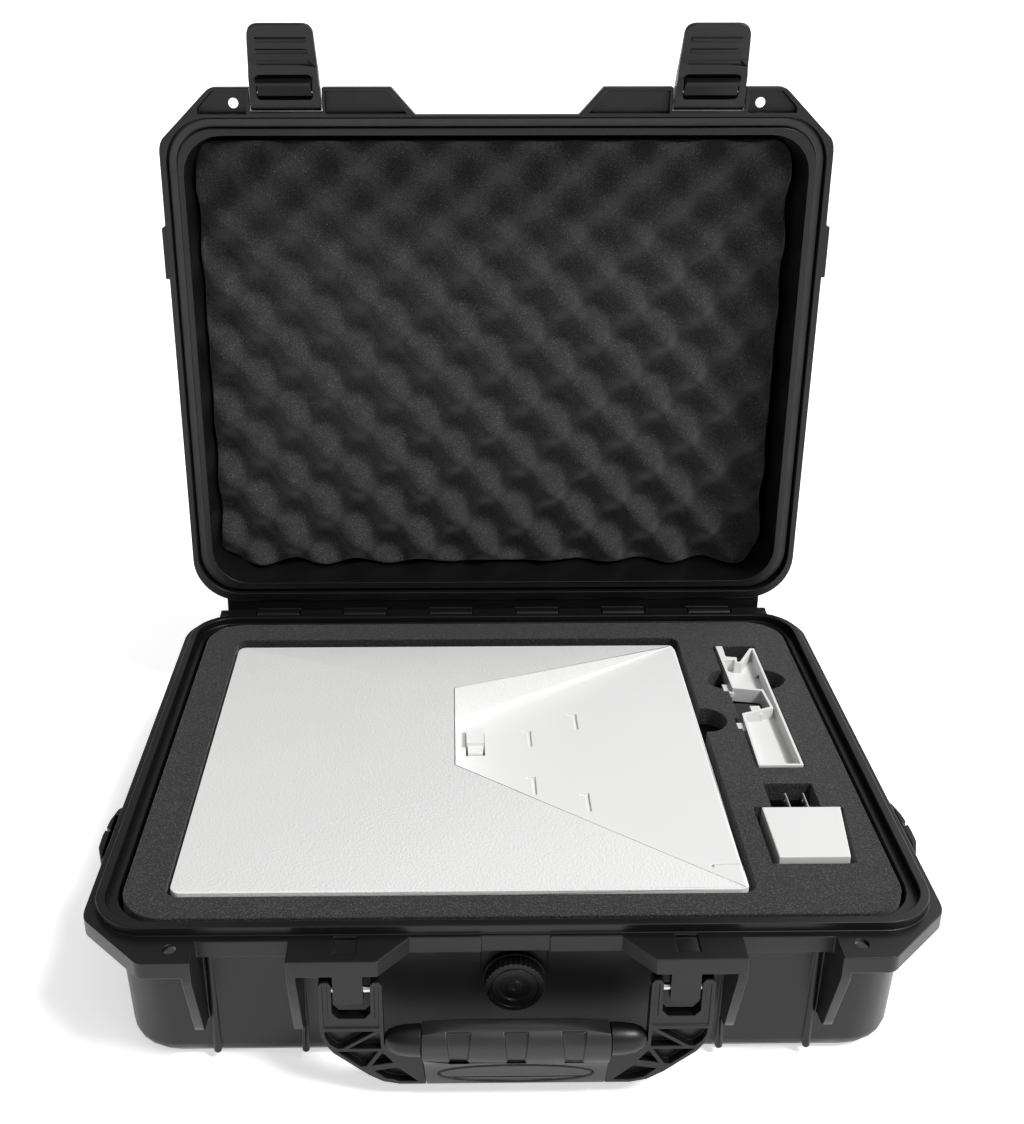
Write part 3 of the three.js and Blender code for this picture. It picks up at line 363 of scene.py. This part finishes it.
def finish_node(name, material, bevel):
    """Gives a CAD piece its material and rounds its edges by bevel, in millimetres, if bevel isn't 0."""
    obj = nodes[name]
    mesh = obj.data
    for kept in ("custom_normal", "sharp_face", "sharp_edge"):
        attribute = mesh.attributes.get(kept)
        if attribute:
            mesh.attributes.remove(attribute)
    mesh.materials.clear()
    mesh.materials.append(material)
    weld = obj.modifiers.new("weld", "WELD")
    weld.merge_threshold = WELD_DISTANCE
    if bevel:
        flat = obj.modifiers.new("flat", "DECIMATE")
        flat.decimate_type = "DISSOLVE"
        flat.angle_limit = FLAT_ANGLE
        round_edges(obj, bevel)
    even_shading(obj)


def finish_cad():
    """Gives every CAD piece but the foam its look. Each entry is a material and a bevel in millimetres."""
    black = moulded_black()
    rubber = soft_rubber()
    white = smooth_white()
    steel = satin_steel()
    circuit = circuit_green()
    looks = {
        "base_shell": (black, 0.7),
        "lid_shell": (black, 0.7),
        "valve_body": (black, 0.3),
        "valve_knob": (black, 0.25),
        "handle_frame": (black, 0.5),
        "handle_grip": (rubber, 0.8),
        "valve_seal": (rubber, 0),
        "lid_gasket": (rubber, 0.3),
        "panel_back": (grained_white(), 0.5),
        "panel_front": (white, 0.4),
        "panel_port": (white, 0.25),
        "cover_bracket": (white, 0.35),
        "adapter_body": (white, 0.8),
        "adapter_face": (white, 0.5),
        "panel_board": (circuit, 0),
        "adapter_core": (circuit, 0),
        "hinge_pin": (steel, 0.3),
    }
    for side in ("left", "right"):
        looks["latch_lever_" + side] = (black, 0.5)
        looks["latch_hook_" + side] = (black, 0.25)
        looks["latch_pin_" + side] = (steel, 0.2)
        looks["hook_pin_" + side] = (steel, 0.2)
        looks["handle_pin_" + side] = (steel, 0.3)
        looks["prong_" + side] = (steel, 0)
    for name, (material, bevel) in looks.items():
        finish_node(name, material, bevel)


# ---- foam ----
def piece_from(name, mesh_data, material, body):
    """Makes a smooth-shaded object of a bmesh, which rides on a body of the CAD model."""
    mesh = bpy.data.meshes.new(name)
    mesh_data.to_mesh(mesh)
    mesh_data.free()
    for face in mesh.polygons:
        face.use_smooth = True
    mesh.materials.append(material)
    obj = bpy.data.objects.new(name, mesh)
    bpy.context.scene.collection.objects.link(obj)
    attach(obj, body)
    return obj


def egg_crate(foam):
    """The lid's foam: a slab whose face is rows of rounded peaks and hollows.

    It is made as it lies when the lid is shut, with the peaks down, and is then turned open with the lid.
    """
    hinge = joints["lid_hinge"]
    pivot = Vector(hinge["pos_m"])
    opened = math.radians(hinge["range_deg"][0])
    turn = Matrix.Translation(pivot) @ Matrix.Rotation(opened, 4, "X") @ Matrix.Translation(-pivot)
    half_x, half_y, corner = 246.6 * MM, 189.3 * MM, 14 * MM
    centre = Vector((-1.5 * MM, 4.5 * MM, 0))
    tips = 138.6 * MM
    amplitude = 11.5 * MM
    pitch = 29 * MM
    slant = math.radians(-2.4)
    rough_scale = 60
    rough_height = 1.2 * MM
    end_gap = 0.2 * MM
    columns, rows = 250, 192
    back_rings = ((159.5, 0), (162.5, 1.2), (165.5, 4.5), (168.8, 11))  # heights and insets, in millimetres
    mesh = bmesh.new()

    def half_width(y):
        over = abs(y) - (half_y - corner)
        if over <= 0:
            return half_x
        return half_x - corner + math.sqrt(max(corner**2 - over**2, 0))

    def surface(x, y):
        u = x * math.cos(slant) - y * math.sin(slant)
        v = x * math.sin(slant) + y * math.cos(slant)
        wave = math.cos(math.pi * u / pitch) * math.cos(math.pi * v / pitch)
        rough = noise.noise(Vector((x, y, 0)) * rough_scale) * rough_height
        return tips + amplitude * (1 - wave) + abs(rough)

    grid = []
    for row in range(rows + 1):
        y = -half_y + 2 * half_y * row / rows
        y = math.copysign(min(abs(y), half_y - end_gap), y)
        wide = half_width(y)
        line = []
        for column in range(columns + 1):
            x = -wide + 2 * wide * column / columns
            line.append(mesh.verts.new(centre + Vector((x, y, surface(x, y)))))
        grid.append(line)
    for row in range(rows):
        for column in range(columns):
            a, b = grid[row][column], grid[row][column + 1]
            c, d = grid[row + 1][column + 1], grid[row + 1][column]
            mesh.faces.new((d, c, b, a))
    rim = grid[0] + [line[-1] for line in grid[1:]]
    rim += grid[-1][-2::-1] + [line[0] for line in grid[-2:0:-1]]
    previous = rim
    for level, inset in back_rings:
        ring = []
        for vertex in rim:
            offset = Vector((vertex.co.x, vertex.co.y, 0)) - centre
            scale_x = 1 - inset * MM / half_x
            scale_y = 1 - inset * MM / half_y
            spot = centre + Vector((offset.x * scale_x, offset.y * scale_y, level * MM))
            ring.append(mesh.verts.new(spot))
        for i in range(len(rim)):
            j = (i + 1) % len(rim)
            mesh.faces.new((previous[i], previous[j], ring[j], ring[i]))
        previous = ring
    mesh.faces.new(previous)
    mesh.transform(turn)
    bmesh.ops.recalc_face_normals(mesh, faces=mesh.faces)
    obj = piece_from("lid_foam_egg_crate", mesh, foam, "lid")
    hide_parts("lid_foam")


def copied_foam(node, name, foam):
    """A foam block as the CAD has it, with soft cut edges."""
    mesh = bmesh.new()
    mesh.from_mesh(nodes[node].data)
    bmesh.ops.remove_doubles(mesh, verts=mesh.verts, dist=WELD_DISTANCE)
    bmesh.ops.dissolve_limit(mesh, angle_limit=FLAT_ANGLE, verts=mesh.verts, edges=mesh.edges)
    obj = piece_from(name, mesh, foam, "base")
    round_edges(obj, FOAM_BEVEL)
    even_shading(obj)
    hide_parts(node)


def make_foam():
    foam = open_cell_foam()
    egg_crate(foam)
    copied_foam("foam_tray", "base_foam", foam)
    copied_foam("foam_pad", "lower_foam", foam)


make_camera()
make_studio()
finish_cad()
make_foam()
